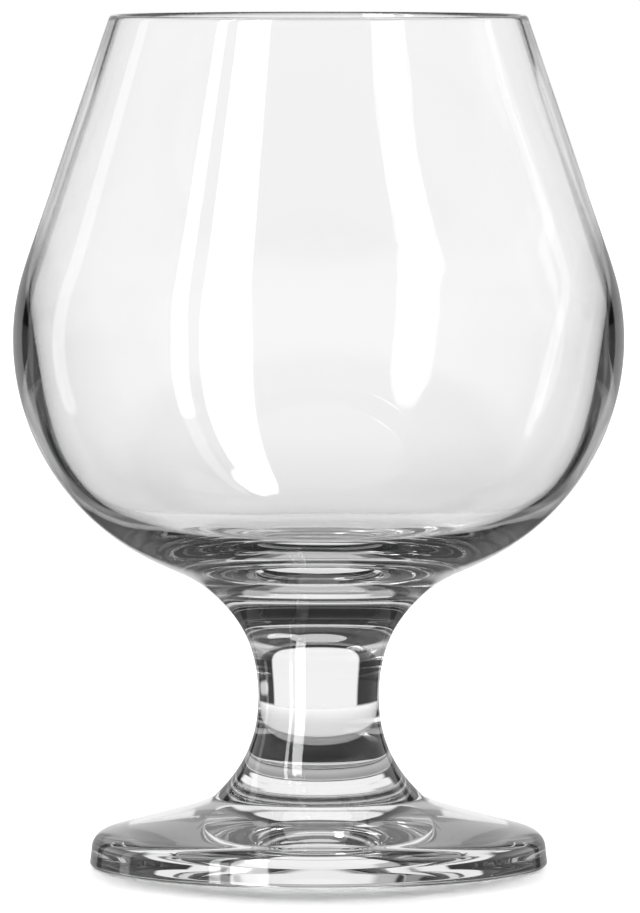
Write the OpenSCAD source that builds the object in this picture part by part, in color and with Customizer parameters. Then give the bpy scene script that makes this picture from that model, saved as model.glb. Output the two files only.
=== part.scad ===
// Brandy snifter in clear glass: a wide bowl that narrows to the rim, a short thick stem and a round foot.
// The three pieces are fused together while hot, face to face, at two flat round joints.
// Lengths are in millimetres. The origin is the centre of the foot's underside, and +Z points up to the rim.

/* [Heights] */
// Height of the foot, from the table to its joint with the stem
foot_h = 10; // [8:0.5:14]
// Length of the stem between its two joints
stem_h = 29.5; // [20:0.5:60]
// Height of the bowl, from its joint with the stem to the rim
bowl_h = 84.5; // [75:0.5:120]

/* [Foot] */
// Diameter of the foot
foot_d = 66.8; // [56:0.2:80]
// Height at which the foot's upright edge turns into its shoulder
edge_h = 2.2; // [1.5:0.1:3]
// How far the upright edge leans in from bottom to top
edge_draft = 0.2; // [0:0.05:0.6]
// Radius of the corner between the edge and the underside
corner_r = 0.6; // [0.3:0.1:1.2]
// Width of the rounded shoulder above the edge
shoulder_w = 4.3; // [3:0.1:6]
// Height at the inner end of the shoulder
shoulder_h = 5.7; // [4.5:0.1:7]
// Width of the sloping top between the shoulder and the sweep up to the stem
slope_w = 8; // [4:0.5:11]
// Slope of the top, in degrees
slope_deg = 15.5; // [8:0.5:20]
// Width of the flat ring that the glass stands on
ring_w = 6; // [3:0.1:9]
// Height of the hollow under the foot at its centre
under_h = 1.5; // [0.8:0.1:3]
// Lean of that hollow where it meets the ring, in degrees
under_deg = 6; // [2:0.5:10]

/* [Stem] */
// Diameter of the joint between the stem and the foot
foot_joint_d = 30.6; // [26:0.2:36]
// Diameter of the stem at its waist
waist_d = 17.6; // [12:0.2:24]
// Height of the waist above the joint with the foot
waist_h = 14.4; // [10:0.2:18]
// Diameter of the joint between the stem and the bowl
bowl_joint_d = 30.4; // [26:0.2:36]
// Lean of the stem's lower flare where it meets the foot, in degrees above level
low_flare_deg = 43; // [35:1:60]
// Lean of the stem's upper flare where it meets the bowl, in degrees above level
high_flare_deg = 43; // [35:1:60]

/* [Bowl] */
// Greatest diameter of the bowl
bowl_d = 89; // [80:0.5:100]
// Height of the greatest diameter above the joint with the stem
widest_h = 37.4; // [33:0.2:44]
// Radius of the side's curve above the greatest diameter
shoulder_r = 33.5; // [28:0.5:40]
// Radius of the side's curve below the greatest diameter
belly_r = 35.9; // [33:0.1:38]
// How far the lower curve runs before it turns out to the stem, in degrees
belly_deg = 63; // [55:1:68]
// Outer diameter of the rim
rim_d = 61; // [52:0.2:72]

/* [Wall] */
// Thickness of the fire-polished rim
lip_t = 1.3; // [1:0.1:2]
// Depth below the rim at which the band under it is thickest
band_h = 7; // [4:0.5:10]
// Thickness of the wall there, measured level
band_t = 1.6; // [1.2:0.1:2.4]
// Depth below the rim at which the wall has thinned out
wall_h = 16; // [12:0.5:22]
// Thickness of the wall there, measured level
wall_t = 1.2; // [1:0.1:2.2]
// Thickness of the wall at the greatest diameter
side_t = 2.4; // [1.6:0.1:3]
// Lean of the hollow's side there, in degrees in from upright on the way down
side_lean_deg = 9; // [6:0.5:14]
// Thickness of the solid glass between the hollow and the stem's joint, at the centre
floor_t = 6.5; // [5:0.1:12]

/* [Hidden] */

$fn = 128;
glass = [0.86, 0.90, 0.90, 0.45];

// Steps in each curved stretch of an outline
steps = 20;

// Radii of the diameters above
foot_r = foot_d / 2;
foot_joint_r = foot_joint_d / 2;
waist_r = waist_d / 2;
bowl_joint_r = bowl_joint_d / 2;
bowl_r = bowl_d / 2;
rim_r = rim_d / 2;
lip_r = lip_t / 2;

// Heights of the joints, the rim and the widest place above the table
stem_z = foot_h;
bowl_z = foot_h + stem_h;
rim_z = bowl_z + bowl_h;
widest_z = bowl_z + widest_h;

// Pull at the two ends of each curve, as shares of the distance between its ends
edge_pull_share = [0.53, 0.32];
sweep_pull_share = [0.55, 0.05];
low_flare_pull_share = [0.32, 0.41];
high_flare_pull_share = [0.47, 0.31];
base_pull_share = [0.43, 0.52];
lip_pull_share = [0.4, 0.4];
side_pull_share = [0.45, 0.28];
under_pull_share = [0.35, 0.45];
// Pull of the hollow's lower curve: down from its widest place, and out from its centre
hollow_down_share = 0.98;
hollow_out_share = 0.52;

// Point at an angle and a distance from another, in the plane of radius and height
function polar(centre, angle, distance) = centre + distance * [cos(angle), sin(angle)];

// Points of a round arc, both ends included
function arc(centre, radius, from, to) =
    [for (i = [0:steps]) polar(centre, from + (to - from) * i / steps, radius)];

// Points of a curve that leaves p along one direction and arrives at q along another,
// each given as the angle of travel and the length of its pull
function pulled(p, p_angle, p_pull, q, q_angle, q_pull) =
    let (a = polar(p, p_angle, p_pull), b = polar(q, q_angle, -q_pull))
    [for (i = [0:steps]) let (t = i / steps, s = 1 - t)
        s * s * s * p + 3 * s * s * t * a + 3 * s * t * t * b + t * t * t * q];

// The same curve with its pulls given as shares of the distance between its ends
function curve(p, p_angle, q, q_angle, share) =
    pulled(p, p_angle, share[0] * norm(q - p), q, q_angle, share[1] * norm(q - p));

// Spins a closed outline of [radius, height] points about the upright axis
module turned(outline) {
    rotate_extrude() polygon(outline);
}

// Outer side of the foot, from the table up to the stem's joint
edge_top = [foot_r - edge_draft, edge_h];
shoulder_end = [foot_r - shoulder_w, shoulder_h];
slope_end = shoulder_end + slope_w * [-1, tan(slope_deg)];
foot_side = concat(
    arc([foot_r - corner_r, corner_r], corner_r, -90, 0),
    curve(edge_top, 90, shoulder_end, 180 - slope_deg, edge_pull_share),
    curve(slope_end, 180 - slope_deg, [foot_joint_r, foot_h], 180 - low_flare_deg, sweep_pull_share));

// Underside of the foot, from its centre down and out to the ring that it stands on
ring_inner_r = foot_r - corner_r - ring_w;
foot_under = curve([0, under_h], 0, [ring_inner_r, 0], -under_deg, under_pull_share);

// Side of the stem, from the foot's joint to the bowl's
waist = [waist_r, stem_z + waist_h];
stem_side = concat(
    curve([foot_joint_r, stem_z], 180 - low_flare_deg, waist, 90, low_flare_pull_share),
    curve(waist, 90, [bowl_joint_r, bowl_z], high_flare_deg, high_flare_pull_share));

// Outer side of the bowl: out from the joint, round the belly, then straight and tangent up to the lip
belly_centre = [bowl_r - belly_r, widest_z];
shoulder_centre = [bowl_r - shoulder_r, widest_z];
lip_centre = [rim_r - lip_r, rim_z - lip_r];
to_lip = lip_centre - shoulder_centre;
cone_deg = atan2(to_lip[1], to_lip[0]) - acos((shoulder_r - lip_r) / norm(to_lip));
belly_start = polar(belly_centre, -belly_deg, belly_r);
bowl_side = concat(
    curve([bowl_joint_r, bowl_z], high_flare_deg, belly_start, 90 - belly_deg, base_pull_share),
    arc(belly_centre, belly_r, -belly_deg, 0),
    arc(shoulder_centre, shoulder_r, 0, cone_deg),
    arc(lip_centre, lip_r, cone_deg, 180 + cone_deg));

// Inner side of the bowl, from the lip down to the centre of the hollow
cone_top = polar(lip_centre, cone_deg, lip_r);
function cone_at(depth) =
    [cone_top[0] + (cone_top[1] - rim_z + depth) * tan(cone_deg), rim_z - depth];
band = cone_at(band_h) - [band_t, 0];
wall = cone_at(wall_h) - [wall_t, 0];
hollow_side = [bowl_r - side_t, widest_z];
hollow_floor = [0, bowl_z + floor_t];
down_deg = cone_deg - 90;
bowl_inside = concat(
    curve(polar(lip_centre, 180 + cone_deg, lip_r), down_deg, band, down_deg, lip_pull_share),
    curve(band, down_deg, wall, down_deg, lip_pull_share),
    curve(wall, down_deg, hollow_side, -90 - side_lean_deg, side_pull_share),
    pulled(hollow_side, -90 - side_lean_deg, hollow_down_share * (hollow_side[1] - hollow_floor[1]),
        hollow_floor, 180, hollow_out_share * hollow_side[0]));

// Blown bowl: thick solid base, thin side and a rounded rim
module bowl() {
    color(glass) turned(concat([[0, bowl_z]], bowl_side, bowl_inside));
}

// Solid stem with a flare at each end
module stem() {
    color(glass) turned(concat([[0, stem_z]], stem_side, [[0, bowl_z]]));
}

// Pressed foot: flat ring to stand on, shallow hollow beneath and a boss that carries the stem
module foot() {
    color(glass) turned(concat(foot_under, foot_side, [[0, foot_h]]));
}

bowl();
stem();
foot();
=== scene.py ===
"""Looks of the brandy snifter: clear glass on a white table in front of a white backdrop."""
import math

import bpy
import numpy as np
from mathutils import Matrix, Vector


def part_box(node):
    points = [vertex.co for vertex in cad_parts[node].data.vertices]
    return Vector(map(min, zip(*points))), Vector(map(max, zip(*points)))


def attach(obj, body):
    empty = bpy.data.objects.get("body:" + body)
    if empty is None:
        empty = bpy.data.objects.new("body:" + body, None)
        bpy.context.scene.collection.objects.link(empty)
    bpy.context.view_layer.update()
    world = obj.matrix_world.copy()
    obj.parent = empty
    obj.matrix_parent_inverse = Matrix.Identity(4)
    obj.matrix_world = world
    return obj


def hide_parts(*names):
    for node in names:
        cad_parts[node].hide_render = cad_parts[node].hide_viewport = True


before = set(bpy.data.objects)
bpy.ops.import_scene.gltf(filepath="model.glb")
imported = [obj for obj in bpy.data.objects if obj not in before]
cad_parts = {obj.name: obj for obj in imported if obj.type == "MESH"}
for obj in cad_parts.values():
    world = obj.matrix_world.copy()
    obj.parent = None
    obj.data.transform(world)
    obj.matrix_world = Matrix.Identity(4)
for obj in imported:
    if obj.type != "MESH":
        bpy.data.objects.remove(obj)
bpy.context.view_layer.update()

MM = 0.001

# Heights and diameters that the frame gives
FOOT_LOW, FOOT_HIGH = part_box("foot")
STEM_LOW, STEM_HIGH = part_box("stem")
BOWL_LOW, BOWL_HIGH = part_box("bowl")
STEM_Z = STEM_LOW.z
BOWL_Z = BOWL_LOW.z
RIM_Z = BOWL_HIGH.z
FOOT_R = FOOT_HIGH.x
BOWL_R = BOWL_HIGH.x

# Foot
EDGE_H = 2.2 * MM
EDGE_DRAFT = 0.2 * MM
CORNER_R = 0.6 * MM
SHOULDER_W = 4.3 * MM
SHOULDER_H = 5.7 * MM
SLOPE_W = 8 * MM
SLOPE_DEG = 15.5
RING_W = 6 * MM
UNDER_H = 1.5 * MM
UNDER_DEG = 6

# Stem
FOOT_JOINT_R = 15.3 * MM
WAIST_R = 8.8 * MM
WAIST_H = 14.4 * MM
BOWL_JOINT_R = 15.2 * MM
LOW_FLARE_DEG = 43
HIGH_FLARE_DEG = 43

# Bowl
WIDEST_H = 37.4 * MM
SHOULDER_R = 33.5 * MM
BELLY_R = 35.9 * MM
BELLY_DEG = 63
RIM_R = 30.5 * MM

# Wall of the bowl
LIP_R = 0.65 * MM
BAND_H = 7 * MM
BAND_T = 1.6 * MM
WALL_H = 16 * MM
WALL_T = 1.2 * MM
SIDE_T = 2.4 * MM
SIDE_LEAN_DEG = 9
FLOOR_T = 6.5 * MM
HOLLOW_DOWN_SHARE = 0.98
HOLLOW_OUT_SHARE = 0.52

# Pulls at the two ends of each curve, as shares of the distance between its ends
EDGE_PULLS = (0.53, 0.32)
SWEEP_PULLS = (0.55, 0.05)
UNDER_PULLS = (0.35, 0.45)
LOW_FLARE_PULLS = (0.32, 0.41)
HIGH_FLARE_PULLS = (0.47, 0.31)
BASE_PULLS = (0.43, 0.52)
LIP_PULLS = (0.4, 0.4)
SIDE_PULLS = (0.45, 0.28)

# Fineness of the glass meshes: length of a step along the outline, closest spacing, and steps around
STEP = 0.45 * MM
CLOSEST = 0.01 * MM
SEGMENTS = 192
# Reach over which hot glass has softened the bends of the hollow and of the outer side
INNER_EASE = 6 * MM
OUTER_EASE = 3 * MM
# Places of a glass piece's two materials: its skin, and the flat face of a fused joint
SKIN, JOINT = 0, 1


def polar(centre, degrees, distance):
    """Point at an angle and a distance from another, in the plane of radius and height."""
    turn = math.radians(degrees)
    return np.asarray(centre, float) + distance * np.array([math.cos(turn), math.sin(turn)])


def arc(centre, radius, start, end):
    """Points of a round arc."""
    count = max(6, int(abs(math.radians(end - start)) * radius / STEP))
    return [polar(centre, a, radius) for a in np.linspace(start, end, count + 1)]


def pulled(p, p_deg, p_pull, q, q_deg, q_pull):
    """Points of a curve that leaves p along one direction and arrives at q along another."""
    p, q = np.asarray(p, float), np.asarray(q, float)
    a, b = polar(p, p_deg, p_pull), polar(q, q_deg, -q_pull)
    count = max(8, int(1.1 * np.linalg.norm(q - p) / STEP))
    t = np.linspace(0, 1, count + 1)[:, None]
    s = 1 - t
    return list(s ** 3 * p + 3 * s * s * t * a + 3 * s * t * t * b + t ** 3 * q)


def curve(p, p_deg, q, q_deg, shares):
    """The same curve with its pulls given as shares of the distance between its ends."""
    far = float(np.linalg.norm(np.asarray(q, float) - np.asarray(p, float)))
    return pulled(p, p_deg, shares[0] * far, q, q_deg, shares[1] * far)


def line(p, q):
    """Points of a straight stretch."""
    p, q = np.asarray(p, float), np.asarray(q, float)
    count = max(2, int(np.linalg.norm(q - p) / STEP))
    return list(p + np.linspace(0, 1, count + 1)[:, None] * (q - p))


def foot_outline():
    """From the centre of the underside out to the ring, up the edge and in to the stem's joint."""
    edge_top = (FOOT_R - EDGE_DRAFT, EDGE_H)
    shoulder_end = np.array([FOOT_R - SHOULDER_W, SHOULDER_H])
    slope_end = shoulder_end + SLOPE_W * np.array([-1, math.tan(math.radians(SLOPE_DEG))])
    ring_outer, ring_inner = FOOT_R - CORNER_R, FOOT_R - CORNER_R - RING_W
    return [
        curve((0, UNDER_H), 0, (ring_inner, 0), -UNDER_DEG, UNDER_PULLS),
        line((ring_inner, 0), (ring_outer, 0)),
        arc((ring_outer, CORNER_R), CORNER_R, -90, 0),
        line((FOOT_R, CORNER_R), edge_top),
        curve(edge_top, 90, shoulder_end, 180 - SLOPE_DEG, EDGE_PULLS),
        line(shoulder_end, slope_end),
        curve(slope_end, 180 - SLOPE_DEG, (FOOT_JOINT_R, STEM_Z), 180 - LOW_FLARE_DEG, SWEEP_PULLS),
    ]


def stem_outline():
    """From the foot's joint up the waisted side to the bowl's joint."""
    waist = (WAIST_R, STEM_Z + WAIST_H)
    return [
        curve((FOOT_JOINT_R, STEM_Z), 180 - LOW_FLARE_DEG, waist, 90, LOW_FLARE_PULLS),
        curve(waist, 90, (BOWL_JOINT_R, BOWL_Z), HIGH_FLARE_DEG, HIGH_FLARE_PULLS),
    ]


def bowl_outline():
    """From the stem's joint up the outer side, over the lip and down to the centre of the hollow."""
    widest_z = BOWL_Z + WIDEST_H
    belly_centre = (BOWL_R - BELLY_R, widest_z)
    shoulder_centre = np.array([BOWL_R - SHOULDER_R, widest_z])
    lip_centre = np.array([RIM_R - LIP_R, RIM_Z - LIP_R])
    to_lip = lip_centre - shoulder_centre
    cone_deg = math.degrees(math.atan2(to_lip[1], to_lip[0])
                            - math.acos((SHOULDER_R - LIP_R) / np.linalg.norm(to_lip)))
    belly_start = polar(belly_centre, -BELLY_DEG, BELLY_R)
    cone_low = polar(shoulder_centre, cone_deg, SHOULDER_R)
    cone_top = polar(lip_centre, cone_deg, LIP_R)

    def cone_at(depth):
        """Point on the straight outer side, this far below the rim."""
        run = (cone_top[1] - RIM_Z + depth) * math.tan(math.radians(cone_deg))
        return np.array([cone_top[0] + run, RIM_Z - depth])

    band = cone_at(BAND_H) - (BAND_T, 0)
    wall = cone_at(WALL_H) - (WALL_T, 0)
    down = cone_deg - 90
    hollow_side = np.array([BOWL_R - SIDE_T, widest_z])
    hollow_floor = np.array([0, BOWL_Z + FLOOR_T])
    return [
        curve((BOWL_JOINT_R, BOWL_Z), HIGH_FLARE_DEG, belly_start, 90 - BELLY_DEG, BASE_PULLS),
        arc(belly_centre, BELLY_R, -BELLY_DEG, 0),
        arc(shoulder_centre, SHOULDER_R, 0, cone_deg),
        line(cone_low, cone_top),
        arc(lip_centre, LIP_R, cone_deg, 180 + cone_deg),
        curve(polar(lip_centre, 180 + cone_deg, LIP_R), down, band, down, LIP_PULLS),
        curve(band, down, wall, down, LIP_PULLS),
        curve(wall, down, hollow_side, -90 - SIDE_LEAN_DEG, SIDE_PULLS),
        pulled(hollow_side, -90 - SIDE_LEAN_DEG, HOLLOW_DOWN_SHARE * (hollow_side[1] - hollow_floor[1]),
               hollow_floor, 180, HOLLOW_OUT_SHARE * hollow_side[0]),
    ]


def chained(stretches):
    """One array of [radius, height] points from stretches that follow each other."""
    points = [stretches[0][0]]
    for stretch in stretches:
        points += [p for p in stretch if np.linalg.norm(p - points[-1]) > CLOSEST]
    points = np.array(points)
    points[:, 0] = np.maximum(points[:, 0], 0)
    return points


def eased(points, reach):
    """The same run of points with its changes of bend softened over a reach, its ends left in place."""
    step = np.linalg.norm(np.diff(points, axis=0), axis=1).mean()

    def averaged(run):
        """The run with each inner point averaged with its neighbours, over and over."""
        out = run.copy()
        for _ in range(int(round(2 * (reach / step) ** 2))):
            out[1:-1] = 0.25 * out[:-2] + 0.5 * out[1:-1] + 0.25 * out[2:]
        return out

    # averaging draws an even bend inward, and a second pass tells how far, so that it can be undone
    once = averaged(points)
    return 2 * once - averaged(once)


def glass_skin():
    """The whole skin of the glass as a grid of points and normals, and the rows at its two joints."""
    parts = [chained(foot_outline()), chained(stem_outline()), chained(bowl_outline())]
    rows = np.concatenate([parts[0], parts[1][1:], parts[2][1:]])
    foot_end = len(parts[0]) - 1
    stem_end = foot_end + len(parts[1]) - 1
    top = int(np.argmax(rows[:, 1]))
    lip_out = top - int(np.argmax((rows[:top, 1] < RIM_Z - 2 * LIP_R)[::-1]))
    lip_in = top + int(np.argmax(rows[top:, 1] < RIM_Z - 2 * LIP_R))
    # the hollow goes on past the axis, so that its centre stays level
    hollow = np.concatenate([rows[lip_in:], (rows[lip_in:-1] * (-1, 1))[::-1]])
    rows[lip_in:] = eased(hollow, INNER_EASE)[:len(rows) - lip_in]
    rows[foot_end:lip_out] = eased(rows[foot_end:lip_out], OUTER_EASE)
    turn = np.linspace(0, 2 * math.pi, SEGMENTS, endpoint=False)
    co = np.stack([rows[:, :1] * np.cos(turn), rows[:, :1] * np.sin(turn),
                   np.repeat(rows[:, 1:], SEGMENTS, axis=1)], axis=2)
    along = np.gradient(rows, axis=0)
    slope = np.stack([along[:, 1], -along[:, 0]], axis=1)
    slope /= np.linalg.norm(slope, axis=1)[:, None]
    normal = np.stack([slope[:, :1] * np.cos(turn), slope[:, :1] * np.sin(turn),
                       np.repeat(slope[:, 1:], SEGMENTS, axis=1)], axis=2)
    return co, normal, foot_end, stem_end


def glass_piece(name, co, normal, low_cap, high_cap, materials):
    """A closed mesh from some rows of the skin. A cap closes the flat face of a fused joint."""
    verts, norms, faces, kinds, rings = [], [], [], [], []
    for row in range(len(co)):
        if np.hypot(co[row, 0, 0], co[row, 0, 1]) < CLOSEST / 10:
            rings.append([len(verts)])
            verts.append((0, 0, co[row, 0, 2]))
            norms.append((0, 0, math.copysign(1, normal[row, 0, 2])))
        else:
            rings.append(list(range(len(verts), len(verts) + SEGMENTS)))
            verts.extend(map(tuple, co[row]))
            norms.extend(map(tuple, normal[row]))
    for a, b in zip(rings, rings[1:]):
        for j in range(SEGMENTS):
            k = (j + 1) % SEGMENTS
            if len(a) == 1:
                faces.append((a[0], b[k], b[j]))
            elif len(b) == 1:
                faces.append((a[j], a[k], b[0]))
            else:
                faces.append((a[j], a[k], b[k], b[j]))
            kinds.append(SKIN)
    for capped, ring, up in ((low_cap, rings[0], False), (high_cap, rings[-1], True)):
        if capped:
            centre = len(verts)
            verts.append((0, 0, verts[ring[0]][2]))
            norms.append((0, 0, 1 if up else -1))
            for j in range(SEGMENTS):
                k = (j + 1) % SEGMENTS
                faces.append((ring[j], ring[k], centre) if up else (ring[k], ring[j], centre))
                kinds.append(JOINT)
    mesh = bpy.data.meshes.new(name)
    mesh.from_pydata(verts, [], faces)
    for material in materials:
        mesh.materials.append(material)
    mesh.polygons.foreach_set("material_index", kinds)
    mesh.polygons.foreach_set("use_smooth", [True] * len(faces))
    mesh.normals_split_custom_set_from_vertices(norms)
    mesh.update()
    piece = bpy.data.objects.new(name, mesh)
    bpy.context.scene.collection.objects.link(piece)
    return piece


def new_material(name):
    """An empty node material and its tree."""
    material = bpy.data.materials.new(name)
    material.use_nodes = True
    material.node_tree.nodes.clear()
    return material, material.node_tree


def node(tree, kind, **settings):
    """A shader node with its settings."""
    made = tree.nodes.new("ShaderNode" + kind)
    for key, value in settings.items():
        setattr(made, key, value)
    return made


def fill(tree, made, values, slots=None):
    """Sets or links a node's inputs; each value is a socket, a number or a tuple, and None is left alone."""
    for i, value in enumerate(values):
        if value is None:
            continue
        slot = made.inputs[slots[i] if slots else i]
        if isinstance(value, (int, float, tuple)):
            slot.default_value = value
        else:
            tree.links.new(value, slot)


def math_node(tree, operation, *values):
    """Output of a Math node."""
    made = node(tree, "Math", operation=operation)
    fill(tree, made, values)
    return made.outputs[0]


def vector_node(tree, operation, *values):
    """A Vector Math node."""
    made = node(tree, "VectorMath", operation=operation)
    fill(tree, made, values)
    return made


RANGE_SLOTS = ("Value", "From Min", "From Max", "To Min", "To Max")


def ramp(tree, value, start, end, low, high, steps="SMOOTHSTEP"):
    """Goes from one level to another as a value goes from start to end, smoothly unless told otherwise."""
    made = node(tree, "MapRange", interpolation_type=steps)
    fill(tree, made, (value, start, end, low, high), RANGE_SLOTS)
    return made.outputs["Result"]


def grey(tree, level):
    """A grey of the given level."""
    made = node(tree, "CombineColor")
    fill(tree, made, (level, level, level))
    return made.outputs[0]


def patch(tree, place, centre, half, corner, soft):
    """1 inside a box with round corners, in degrees of azimuth and elevation, and 0 outside."""
    off = vector_node(tree, "SUBTRACT", place, (centre[0], centre[1], 0)).outputs[0]
    away = vector_node(tree, "ABSOLUTE", off).outputs[0]
    past = vector_node(tree, "SUBTRACT", away, (half[0] - corner, half[1] - corner, 0)).outputs[0]
    outside = vector_node(tree, "MAXIMUM", past, (0, 0, 0)).outputs[0]
    far = vector_node(tree, "LENGTH", outside).outputs["Value"]
    return ramp(tree, far, corner - soft, corner + soft, 1, 0)


# Painted shade in the glass's colour, by height in mm: the lower part of the bowl, where the glass is thick,
# is painted a little greyer
PAINTED_SHADE_TINT = ((46, 1.0), (50, 0.93), (54, 0.905), (57, 0.925), (60, 0.965), (65, 1.0))
# Height in mm of the faint long waves of the surface, by height in mm: most in the thick base
WAVES = ((0, 0.02), (10, 0.02), (16, 0.006), (34, 0.006), (42, 0.07), (52, 0.07), (66, 0.02), (80, 0.008))
# Length of the waves, how much shorter they are upwards, and their finer detail
WAVE_LENGTH = 14 * MM
WAVE_SQUASH = 1.6
WAVE_DETAIL = 1
WAVE_ROUGHNESS = 0.3
GLASS_IOR = 1.52


def by_height(tree, height, stops):
    """A level that follows stops of height in mm and value, as a sum of straight stretches."""
    total = stops[0][1]
    for (low, a), (high, b) in zip(stops, stops[1:]):
        if a != b:
            step = ramp(tree, height, low * MM, high * MM, 0, b - a, "LINEAR")
            total = math_node(tree, "ADD", step, total)
    return total


def clear_glass():
    """Smooth clear glass with the faint long waves of a blown and pressed surface."""
    material, tree = new_material("clear_glass")
    place = node(tree, "TexCoord").outputs["Object"]
    split = node(tree, "SeparateXYZ")
    tree.links.new(place, split.inputs[0])
    up = split.outputs[2]
    glass = node(tree, "BsdfPrincipled")
    # the base colour holds painted shade, greyer low in the bowl
    tree.links.new(grey(tree, by_height(tree, up, PAINTED_SHADE_TINT)), glass.inputs["Base Color"])
    stretched = vector_node(tree, "MULTIPLY", place, (1, 1, WAVE_SQUASH)).outputs[0]
    waves = node(tree, "TexNoise")
    fill(tree, waves, (stretched, 1 / WAVE_LENGTH, WAVE_DETAIL, WAVE_ROUGHNESS),
         ("Vector", "Scale", "Detail", "Roughness"))
    bump = node(tree, "Bump")
    height = math_node(tree, "MULTIPLY", waves.outputs["Fac"], by_height(tree, up, WAVES))
    fill(tree, bump, (MM, height), ("Distance", "Height"))
    tree.links.new(bump.outputs[0], glass.inputs["Normal"])
    glass.inputs["Roughness"].default_value = 0.0
    glass.inputs["IOR"].default_value = GLASS_IOR
    glass.inputs["Transmission Weight"].default_value = 1.0
    out = node(tree, "OutputMaterial")
    tree.links.new(glass.outputs[0], out.inputs[0])
    return material


def fused_joint():
    """Inside a fused joint the glass goes on without a break, so light passes straight through."""
    material, tree = new_material("fused_joint")
    clear = node(tree, "BsdfTransparent")
    out = node(tree, "OutputMaterial")
    tree.links.new(clear.outputs[0], out.inputs[0])
    return material


# Limits between counts that tell one path of light through the glass from another.
# Times that it turned back inside the glass: none, once, as in a wall, many, and all but trapped
TURNED = 0.5
ONCE = 1.5
THICK = 2.5
MANY = 4.5
TRAPPED_FROM = 12.5
# Surfaces that it crossed: none, and at most the three before the bowl's far wall is passed
CROSSED = 0.5
BOTH_WALLS = 3.5
# Times that it left the table: none
FROM_TABLE = 0.5

# The table: half its width, and how far it lies under the glass, just clear of it, so that light
# inside the foot meets the glass's own underside
FLOOR_HALF = 3.0
FLOOR_DROP = 0.05 * MM
# Glass sees it out to the edge of a sheet, nearer for light that turned back inside the glass
SHEET_R = 0.145
SHEET_NEAR_R = 0.055
SHEET_SOFT = 0.01
# Tone of the sheet far away, and near the foot, where it is painted darker as shade, and where the near tone
# ends
SHEET_FAR = 0.66
SHEET_NEAR = 0.46
SHEET_NEAR_END = 0.015
# Tone of the painted shadow under the foot, and where it starts and ends, from the foot's own edge
SHEET_PAINTED_SHADOW = 0.1
SHADE_START = -0.006
SHADE_END = 0.012
SHADE_END_TURNED = 0.002
# Painted shade on the sheet by how often the light turned back: what is left of its tone after turning back
# two or three times, and seven or more
SHEET_SHADE_TWICE = 0.7
SHEET_SHADE_OFTEN = 0.3
TWICE = (1.2, 1.8, 1, SHEET_SHADE_TWICE)
PAST_THREE = (3.2, 3.8, 0, 1)
SEVEN_OR_MORE = (6.2, 6.8, 1, SHEET_SHADE_OFTEN)


def floor_piece():
    """White table. Glass sees it out to the edge of the sheet that the real one stands on, in a tone with
    painted shade near and under the foot.
    """
    corners = [(-FLOOR_HALF, -FLOOR_HALF, 0), (FLOOR_HALF, -FLOOR_HALF, 0),
               (FLOOR_HALF, FLOOR_HALF, 0), (-FLOOR_HALF, FLOOR_HALF, 0)]
    mesh = bpy.data.meshes.new("floor")
    mesh.from_pydata(corners, [], [(0, 1, 2, 3)])
    material, tree = new_material("white_table")

    def calc(operation, *values):
        return math_node(tree, operation, *values)

    path = node(tree, "LightPath")
    glassy = path.outputs["Is Transmission Ray"]
    turns = path.outputs["Glossy Depth"]
    place = node(tree, "NewGeometry").outputs["Position"]
    far = vector_node(tree, "LENGTH", place).outputs["Value"]
    turned_back = calc("GREATER_THAN", turns, TURNED)
    edge = calc("MULTIPLY_ADD", turned_back, SHEET_NEAR_R - SHEET_R, SHEET_R)
    beyond = ramp(tree, calc("SUBTRACT", far, edge), -SHEET_SOFT, SHEET_SOFT, 0, 1)
    # the tone that glass sees is painted darker near the foot, as shade
    painted_table_tone = ramp(tree, far, FOOT_R + SHEET_NEAR_END, SHEET_R, SHEET_NEAR, SHEET_FAR)
    shade_end = calc("MULTIPLY_ADD", turned_back, SHADE_END_TURNED - SHADE_END, FOOT_R + SHADE_END)
    # painted shadow in the table's tone, darkest under the foot
    shade = ramp(tree, far, FOOT_R + SHADE_START, shade_end, SHEET_PAINTED_SHADOW, 1)
    # looking straight through both walls of the bowl, the painted shadow under the foot is left out, and
    # only the shadow that falls on the table shows
    deep = calc("GREATER_THAN", path.outputs["Transmission Depth"], BOTH_WALLS)
    through_bowl = calc("MULTIPLY", deep, calc("SUBTRACT", 1.0, turned_back))
    painted_table_tone = calc("MULTIPLY", painted_table_tone, calc("MAXIMUM", shade, through_bowl))
    # painted shade: the table's tone is painted darker for light that has turned back many times in the foot
    painted_turn_shade = calc("MINIMUM", ramp(tree, turns, *SEVEN_OR_MORE),
                calc("MAXIMUM", ramp(tree, turns, *TWICE), ramp(tree, turns, *PAST_THREE)))
    painted_table_tone = calc("MULTIPLY", painted_table_tone, painted_turn_shade)
    # the camera sees the table plain white; glass sees the painted tone and painted shade
    tone = calc("MULTIPLY_ADD", glassy, calc("SUBTRACT", painted_table_tone, 1.0), 1)
    white = node(tree, "BsdfDiffuse")
    tree.links.new(grey(tree, tone), white.inputs[0])
    clear = node(tree, "BsdfTransparent")
    mixed = node(tree, "MixShader")
    fill(tree, mixed, (calc("MULTIPLY", glassy, beyond), white.outputs[0], clear.outputs[0]))
    out = node(tree, "OutputMaterial")
    tree.links.new(mixed.outputs[0], out.inputs[0])
    mesh.materials.append(material)
    floor = bpy.data.objects.new("floor", mesh)
    bpy.context.scene.collection.objects.link(floor)
    floor.location.z = -FLOOR_DROP
    floor.visible_glossy = False
    return floor


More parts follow.
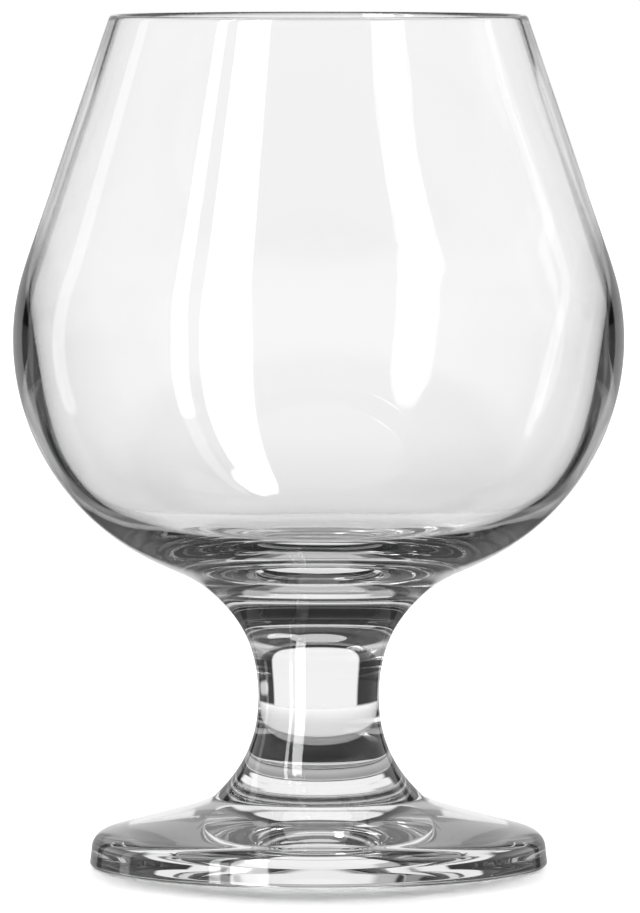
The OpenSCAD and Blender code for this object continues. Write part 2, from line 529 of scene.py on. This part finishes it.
# Studio, in degrees of azimuth (0 is the camera's side, + to its right) and elevation.
# Each light: centre, half size, corner, softness, how far it leans aside at LEAN_AT up and down,
# and its strength in outer reflections, in those inside the bowl and in those inside solid glass.
LIGHTS = [
    ((-34.8, -4), (9.8, 65.5), 8, 1.0, (5, 1.5), 12.0, 0.0, 0.0),
    ((-42, -62), (12.5, 7.5), 7, 1.5, (0, 0), 12.0, 0.0, 0.0),
    ((-34.8, 6), (9.8, 54), 8, 1.0, (5, 1.5), 0.0, 0.0, 1.2),
    ((-53.2, 16), (3.1, 46), 3, 1.0, (7.5, 2.5), 9.0, 0.0, 0.0),
    ((-53.2, -30), (3.1, 36), 3, 1.0, (7.5, 2.5), 1.4, 0.0, 0.0),
    ((-41, -12), (9, 52), 8, 1.0, (3.5, 4), 0.0, 3.6, 0.0),
    ((-43.5, -46), (10.5, 17), 8, 1.0, (0, 1), 0.0, 3.6, 0.0),
    ((-115, 15), (4.5, 35), 4, 1.5, (3, 0), 1.6, 0.0, 0.0),
    ((-122.5, -15), (4, 35), 4, 1.5, (0, 0), 0.0, 2.0, 0.0),
]
SHAPE, LEAN, IN_OUTER, IN_BOWL, IN_SOLID = slice(0, 4), 4, 5, 6, 7
LEAN_AT = 38
LEAN_POWER = 1.6

# Boxes with round corners in azimuth and elevation: centre, half size, corner and softness.
# A solid stem sees a white card behind it and a small pale blob beside that.
CARD = ((-3.6, 0), (33, 28), 12, 1.5)
BLOB = ((-57, 0), (11, 4), 4, 1.5)
# Light that turns back in thick glass sees more of the card, a patch beside it and two above
WIDE_CARD = ((0, 14), (47, 14), 8, 1.5)
CARD_SIDE = ((46, -1), (6, 6), 4, 1.5)
CARD_HIGH = ((-2, 18), (28, 10), 5, 1.5)
CARD_TOP = ((0, 39.5), (28, 9), 5, 1.5)
# A grey patch high up that the inside of the bowl shows
BOWL_PATCH = ((108, 64), (20, 11), 6, 1.5)
# The low light behind that lights the table
BACK_LIGHT = ((0, 14), (28, 4.5), 4, 3)

# Tones
CARD_WHITE = 0.95
WIDE_WHITE = 0.9
BODY_WHITE = 1.0
PATCH_TONE = 0.7
FRONT_OUTER = 0.35
FRONT_INNER = 0.8
FRONT_LOW = 0.85
SIDE_BRIGHT = 0.85
SIDE_GREY = 0.55
FLAG_DARK = 0.03
EDGE_FRONT = 0.35
EDGE_WALL = 0.15
EDGE_DARK = 0.05
EDGE_SIDE = 0.3
EDGE_TABLE = 0.5
EDGE_TABLE_SIDE = 0.15
OFTEN = 0.22
TRAPPED = 0.05
OVERHEAD = 0.6
OPEN_MOUTH = 0.6
TABLE_FAR = 0.9
TABLE_NEAR = 0.45

# Ramps: start, end, and the level before and after. A lone 0 and 1 is a share for a mix.
# Elevation at which the white table ends and the dark behind it starts, and its tone below that
TABLE_TOP = -9
TABLE_EDGE = (TABLE_TOP - 1, TABLE_TOP + 1, 1, 0)
TABLE_TONE = (TABLE_TOP - 45, TABLE_TOP, TABLE_NEAR, TABLE_FAR)
BOWL_TABLE = (TABLE_TOP - 16, TABLE_TOP - 2, 1, 0)
# By elevation, the grey side of the card and what the outside shows of it
PLATEAU_LOW = (-26, -18, 0.22, 0.15)
PLATEAU_HIGH = (-15, -9, 0.15, 0.5)
SLOPE_SKY = (9, 17, 0.15, 0.85)
# The rest of the outside: beside the card and round to the front, by azimuth, and by elevation
BESIDE = (38, 75, SIDE_BRIGHT, SIDE_GREY)
TO_FRONT = (75, 110, 0, 1)
BESIDE_LOW = (-3, 8, 0.3, 1)
OUTER_TOP = (30, 42, 0, 1)
# Through a solid stem and through the bowl
STEM_FRONT = (100, 110, 0, 1)
BOWL_TOP = (20, 28, 0, 1)
# Turned back inside a wall or thick glass, by azimuth and by elevation
FRONT_NARROW = (36, 50, 1, 0)
FRONT_FALL = (-30, -22, 1, 0)
EDGE_ASIDE = (40, 80, 0, 1)
EDGE_RISE = (6, 14, FLAG_DARK, EDGE_SIDE)
EDGE_LOW = (-26, -20, 1, 0)
EDGE_LOW_ASIDE = (40, 60, 0, 1)
EDGE_TO_FRONT = (110, 130, 0, 1)
CARD_UP = (-1, 5, 0.3, CARD_WHITE)
CARD_DOWN = (-14, -6, 0.6, 0.3)
CARD_ONCE = (-6, -3, 0, 0.9)
ABOVE_CARD = (28, 31, 0, 1)
UP_TO_ROOF = (54, 60, 0, 1)
# Turned back inside the bowl
BOWL_ASIDE = (68, 78, 0, 1)
BOWL_CARD = (28, 32, 0, 1)
BOWL_ABOVE = (26, 34, 0, 1)
# By the times turned back in the foot
OFTEN_DARK = (5.2, 5.8, OFTEN, FLAG_DARK)
# Sideways from straight behind: end of the card's middle, start and end of the dark gap, and how
# softly they change
OUTER_RIM = (8, 30, 38)
EDGE_RIM = (16, 26, 35)
MIDDLE_SOFT = 2
GAP_SOFT = 1.5

# What lights the table: the open sky, a low light from straight behind, and the light that comes
# through the solid glass, from the sides and from behind, by how nearly it comes from straight behind
SKY = 0.22
LOW_BACK = 120.0
THROUGH_SIDE = 0.3
THROUGH_BACK = 0.1
THROUGH_GLASS = (0.1, 0.6, THROUGH_SIDE, THROUGH_BACK)


def studio():
    """The world: white to the camera, and to the glass a white card, dark flags and softboxes."""
    world = bpy.data.worlds.new("studio")
    bpy.context.scene.world = world
    world.use_nodes = True
    tree = world.node_tree
    tree.nodes.clear()

    def calc(operation, *values):
        return math_node(tree, operation, *values)

    def fade(value, stops):
        return ramp(tree, value, *stops)

    def more_than(value, limit):
        return calc("GREATER_THAN", value, limit)

    def mix(share, low, high):
        """From low to high as the share goes from 0 to 1."""
        made = node(tree, "Mix", data_type="FLOAT")
        fill(tree, made, (share, low, high), (0, 2, 3))
        return made.outputs[0]

    def pair(a, b):
        made = node(tree, "CombineXYZ")
        fill(tree, made, (a, b))
        return made.outputs[0]

    def degrees(angle):
        return calc("MULTIPLY", angle, 180 / math.pi)

    split = node(tree, "SeparateXYZ")
    tree.links.new(node(tree, "TexCoord").outputs["Generated"], split.inputs[0])
    x, y, z = split.outputs
    azimuth = degrees(calc("ARCTAN2", x, calc("MULTIPLY", y, -1.0)))
    # the same angle from straight behind, positive towards the left
    back = degrees(calc("ARCTAN2", calc("MULTIPLY", x, -1.0), y))
    rise = degrees(calc("ARCSINE", z))
    away = calc("ABSOLUTE", azimuth)
    aside = calc("SUBTRACT", 180.0, away)
    place, behind = pair(azimuth, rise), pair(back, rise)

    path = node(tree, "LightPath")
    turns, crossed = path.outputs["Glossy Depth"], path.outputs["Transmission Depth"]
    table, table_tone = fade(rise, TABLE_EDGE), fade(rise, TABLE_TONE)

    def bent(sign):
        """How far a light's edge has leant at this elevation, as a share of its lean at LEAN_AT."""
        return calc("POWER", calc("MAXIMUM", calc("MULTIPLY", rise, sign / LEAN_AT), 0.0), LEAN_POWER)

    lean_up, lean_down = bent(1), bent(-1)

    def lit(level, kind):
        """Adds the lights, each at its strength for this kind of reflection."""
        for light in LIGHTS:
            if light[kind] > 0:
                up, down = light[LEAN]
                aslant = calc("MULTIPLY_ADD", lean_up, up, azimuth)
                aslant = calc("MULTIPLY_ADD", lean_down, down, aslant)
                box = patch(tree, pair(aslant, rise), *light[SHAPE])
                level = calc("MAXIMUM", level, calc("MULTIPLY", box, light[kind]))
        return level

    def boxed(level, at, box, tone):
        """The level with a box of another tone in it."""
        return mix(patch(tree, at, *box), level, tone)

    def rim(bounds, inside, plateau, outside):
        """Going sideways from straight behind: the card's middle, its grey side, a dark gap, the rest."""
        middle, gap_start, gap_end = bounds
        level = mix(fade(aside, (gap_end - GAP_SOFT, gap_end + GAP_SOFT, 0, 1)), FLAG_DARK, outside)
        level = mix(fade(aside, (gap_start - GAP_SOFT, gap_start + GAP_SOFT, 0, 1)), plateau, level)
        return mix(fade(aside, (middle - MIDDLE_SOFT, middle + MIDDLE_SOFT, 0, 1)), inside, level)

    # what the outside reflects
    plateau = calc("MAXIMUM", fade(rise, PLATEAU_HIGH), fade(rise, PLATEAU_LOW))
    slope_sky = calc("MAXIMUM", plateau, fade(rise, SLOPE_SKY))
    beside = mix(fade(aside, TO_FRONT), fade(aside, BESIDE), FRONT_OUTER)
    beside = calc("MULTIPLY", beside, fade(rise, BESIDE_LOW))
    outer = rim(OUTER_RIM, CARD_WHITE, slope_sky, beside)
    outer = lit(mix(fade(rise, OUTER_TOP), outer, FLAG_DARK), IN_OUTER)

    # what a solid stem sees through it
    solid = mix(fade(away, STEM_FRONT), FRONT_INNER, FLAG_DARK)
    solid = boxed(solid, behind, BLOB, PATCH_TONE)
    solid = boxed(solid, behind, CARD, CARD_WHITE)
    solid = mix(table, solid, table_tone)

    # what the hollow bowl shows through both its walls
    hollow = mix(fade(rise, BOWL_TABLE), BODY_WHITE, table_tone)
    hollow = mix(fade(rise, BOWL_TOP), hollow, FLAG_DARK)

    # what the wall's edge and the thick glass turn aside
    front_low = calc("MULTIPLY", fade(away, FRONT_NARROW), fade(rise, FRONT_FALL))
    thick = more_than(turns, THICK)
    edge = mix(fade(aside, EDGE_ASIDE), mix(thick, EDGE_WALL, EDGE_DARK), fade(rise, EDGE_RISE))
    edge = mix(fade(rise, EDGE_LOW), edge, mix(fade(aside, EDGE_LOW_ASIDE), EDGE_TABLE, EDGE_TABLE_SIDE))
    edge = mix(fade(aside, EDGE_TO_FRONT), edge, EDGE_FRONT)
    edge = mix(front_low, edge, FRONT_LOW)
    card = calc("MAXIMUM", fade(rise, CARD_UP), fade(rise, CARD_DOWN))
    card = calc("MAXIMUM", card, calc("MULTIPLY", calc("LESS_THAN", turns, ONCE), fade(rise, CARD_ONCE)))
    edge = rim(EDGE_RIM, card, plateau, edge)
    wide = calc("MAXIMUM", patch(tree, behind, *WIDE_CARD), patch(tree, pair(aside, rise), *CARD_SIDE))
    edge = mix(calc("MULTIPLY", thick, wide), edge, WIDE_WHITE)
    edge = boxed(edge, behind, CARD_HIGH, CARD_WHITE)
    edge = mix(fade(rise, ABOVE_CARD), edge, FLAG_DARK)
    edge = boxed(edge, behind, CARD_TOP, CARD_WHITE)
    edge = lit(mix(fade(rise, UP_TO_ROOF), edge, OVERHEAD), IN_SOLID)

    # what turns back inside the bowl
    inner = mix(fade(aside, BOWL_ASIDE), SIDE_GREY, FRONT_INNER)
    inner = mix(fade(aside, BOWL_CARD), CARD_WHITE, inner)
    inner = mix(fade(rise, BOWL_ABOVE), inner, FLAG_DARK)
    inner = boxed(inner, place, BOWL_PATCH, PATCH_TONE)
    inner = lit(mix(table, inner, table_tone), IN_BOWL)

    deep = more_than(crossed, BOTH_WALLS)
    turned_back = more_than(turns, TURNED)
    often = mix(more_than(turns, TRAPPED_FROM), fade(turns, OFTEN_DARK), TRAPPED)
    edge = mix(more_than(turns, MANY), edge, often)
    level = mix(turned_back, mix(deep, solid, hollow), mix(deep, edge, inner))
    # a ray turned back in the hollow may leave through the open mouth
    outer = mix(more_than(crossed, CROSSED), outer, OPEN_MOUTH)
    level = mix(path.outputs["Is Transmission Ray"], outer, level)
    # what lights the table: little of it comes through the foot from behind
    open_sky = calc("MULTIPLY_ADD", patch(tree, behind, *BACK_LIGHT), LOW_BACK, SKY)
    solid_sky = fade(y, THROUGH_GLASS)
    through = mix(turned_back, mix(deep, solid_sky, open_sky), solid_sky)
    level = mix(more_than(path.outputs["Diffuse Depth"], FROM_TABLE), level, through)
    glassy = calc("MAXIMUM", path.outputs["Is Glossy Ray"], path.outputs["Is Transmission Ray"])
    unseen = mix(path.outputs["Is Camera Ray"], open_sky, 1.0)
    background = node(tree, "Background")
    fill(tree, background, ((1, 1, 1, 1), mix(glassy, unseen, level)))
    out = node(tree, "OutputWorld")
    tree.links.new(background.outputs[0], out.inputs[0])


# Camera: distance from the glass's axis, height above the table, and the point that it looks at
CAMERA_BACK = 1.35
CAMERA_UP = 0.144
AIM = (0.0002, 0, 0.0597)
# Height of the photograph and its focal length, in its pixels, and the height of the sensor in mm
PHOTO_H = 913
FOCAL_PX = 9288
SENSOR = 36


def camera():
    """The camera at the photograph's angle."""
    data = bpy.data.cameras.new("camera")
    data.sensor_fit = "VERTICAL"
    data.sensor_height = SENSOR
    data.lens = FOCAL_PX * SENSOR / PHOTO_H
    seat = bpy.data.objects.new("camera", data)
    bpy.context.scene.collection.objects.link(seat)
    seat.location = (AIM[0], -CAMERA_BACK, CAMERA_UP)
    drop = math.atan2(CAMERA_UP - AIM[2], CAMERA_BACK)
    seat.rotation_euler = (math.pi / 2 - drop, 0, 0)
    bpy.context.scene.camera = seat


def build():
    """The glass: one skin, cut at its two fused joints into a piece for each solid."""
    co, normal, foot_end, stem_end = glass_skin()
    materials = [clear_glass(), fused_joint()]
    cuts = {
        "foot": (0, foot_end, False, True),
        "stem": (foot_end, stem_end, True, True),
        "bowl": (stem_end, len(co) - 1, True, False),
    }
    for name, (start, end, low, high) in cuts.items():
        rows = slice(start, end + 1)
        piece = glass_piece(name + "_glass", co[rows], normal[rows], low, high, materials)
        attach(piece, "root")
        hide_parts(name)


build()
floor_piece()
studio()
camera()

view = bpy.context.scene.view_settings
view.view_transform = "Standard"
# Light turns back many times in thick glass before it leaves
BOUNCES = 32
cycles = bpy.context.scene.cycles
cycles.max_bounces = BOUNCES
cycles.transmission_bounces = BOUNCES
cycles.glossy_bounces = BOUNCES
cycles.transparent_max_bounces = BOUNCES
